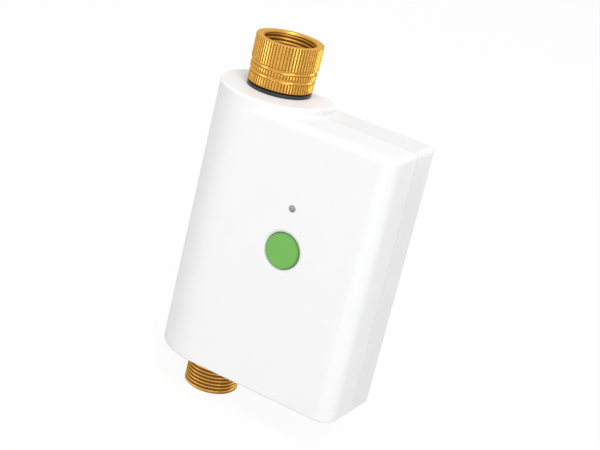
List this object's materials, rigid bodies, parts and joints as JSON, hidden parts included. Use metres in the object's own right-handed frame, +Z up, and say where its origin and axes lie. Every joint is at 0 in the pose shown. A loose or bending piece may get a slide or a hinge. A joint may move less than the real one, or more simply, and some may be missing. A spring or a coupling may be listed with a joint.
{
  "type": "smart water timer",
  "caption": "Battery powered tap timer: flat white casing with a round end on the pipe, green button, knurled brass swivel inlet nut, threaded brass outlet and a motor driven ball valve.",
  "frame": {"origin": "start of the thread in the mouth of the inlet swivel nut, on the axis of the water pipe", "axes": "+Z up the pipe towards the tap, -Y out of the front with the button, +X from the pipe towards the batteries"},
  "size_m": [0.105, 0.0441, 0.1786],
  "materials": {
    "white_casing": "fine satin moulded ABS",
    "gold_brass": "machined, bright",
    "raw_brass": "machined, dull",
    "black_rubber": "matt",
    "green_cap": "satin moulded ABS",
    "smoked_lens": "clear grey light pipe",
    "steel": "zinc plated",
    "stainless_mesh": "pierced sheet",
    "white_seat": "PTFE",
    "polished_ball": "polished plating",
    "nylon_gear": "natural acetal",
    "grey_gearbox": "moulded nylon",
    "motor_steel": "plated can",
    "green_board": "solder mask",
    "chip_black": "moulded",
    "tin_can": "tinned shield",
    "capacitor_sleeve": "sleeve",
    "connector_white": "moulded nylon",
    "led_body": "clear epoxy",
    "cell_jacket": "printed sleeve without words",
    "contact_metal": "nickel plated spring leaf"
  },
  "bodies": {
    "casing": {"inlet_washer": "black_rubber", "filter_screen": "stainless_mesh", "inlet_tailpiece": "gold_brass", "collar_ring": "black_rubber", "front_shell": "white_casing", "rear_cover": "white_casing", "seam_gasket": "black_rubber", "casing_screws": "steel", "door_seal": "black_rubber", "door_inserts": "raw_brass", "battery_1": "cell_jacket", "battery_2": "cell_jacket", "battery_3": "cell_jacket", "battery_4": "cell_jacket", "battery_contacts": "contact_metal", "valve_body": "raw_brass", "upper_seat": "white_seat", "lower_seat": "white_seat", "outlet_nipple": "raw_brass", "outlet_bush": "black_rubber", "middle_axle": "steel", "first_axle": "steel", "gearbox_case": "grey_gearbox", "gearbox_lid": "grey_gearbox", "gearbox_screws": "steel", "motor_can": "motor_steel", "circuit_board": "green_board", "board_screws": "steel", "radio_module": "tin_can", "board_chips": "chip_black", "capacitor": "capacitor_sleeve", "board_connectors": "connector_white", "button_seal": "black_rubber", "switch_body": "chip_black", "indicator_lens": "smoked_lens", "status_led": "led_body"},
    "nut": {"swivel_nut": "gold_brass"},
    "door": {"battery_door": "white_casing", "door_screws": "steel"},
    "button": {"button_cap": "green_cap", "button_clip": "steel", "switch_plunger": "connector_white"},
    "valve": {"valve_ball": "polished_ball", "valve_stem": "steel", "stem_seals": "black_rubber", "output_gear": "nylon_gear"},
    "second_gear": {"middle_gear": "nylon_gear"},
    "third_gear": {"first_gear": "nylon_gear"},
    "motor": {"motor_shaft": "steel", "motor_pinion": "nylon_gear"}
  },
  "joints": [
    {"name": "nut_swivel", "type": "hinge", "parent": "casing", "child": "nut", "pos_m": [0, 0, -0.009], "axis": [0, 0, 1], "continuous": true},
    {"name": "button_press", "type": "slide", "parent": "casing", "child": "button", "axis": [0, 1, 0], "range_m": [0, 0.0005], "stiffness_N_per_m": 1500, "springref_m": -0.0004},
    {"name": "door_pull", "type": "slide", "parent": "casing", "child": "door", "axis": [0, 1, 0], "range_m": [0, 0.03]},
    {"name": "valve_turn", "type": "hinge", "parent": "casing", "child": "valve", "pos_m": [0, 0, -0.0943], "axis": [1, 0, 0], "range_deg": [0, 90]},
    {"name": "second_gear_turn", "type": "hinge", "parent": "casing", "child": "second_gear", "pos_m": [0, -0.0055, -0.10383], "axis": [1, 0, 0], "range_deg": [-270, 0]},
    {"name": "third_gear_turn", "type": "hinge", "parent": "casing", "child": "third_gear", "pos_m": [0, -0.011, -0.11335], "axis": [1, 0, 0], "range_deg": [0, 810]},
    {"name": "motor_turn", "type": "hinge", "parent": "casing", "child": "motor", "pos_m": [0, -0.0165, -0.12288], "axis": [1, 0, 0], "range_deg": [-2430, 0]}
  ],
  "couplings": [
    {"joint": "second_gear_turn", "follows": "valve_turn", "ratio": -3},
    {"joint": "third_gear_turn", "follows": "valve_turn", "ratio": 9},
    {"joint": "motor_turn", "follows": "valve_turn", "ratio": -27}
  ]
}
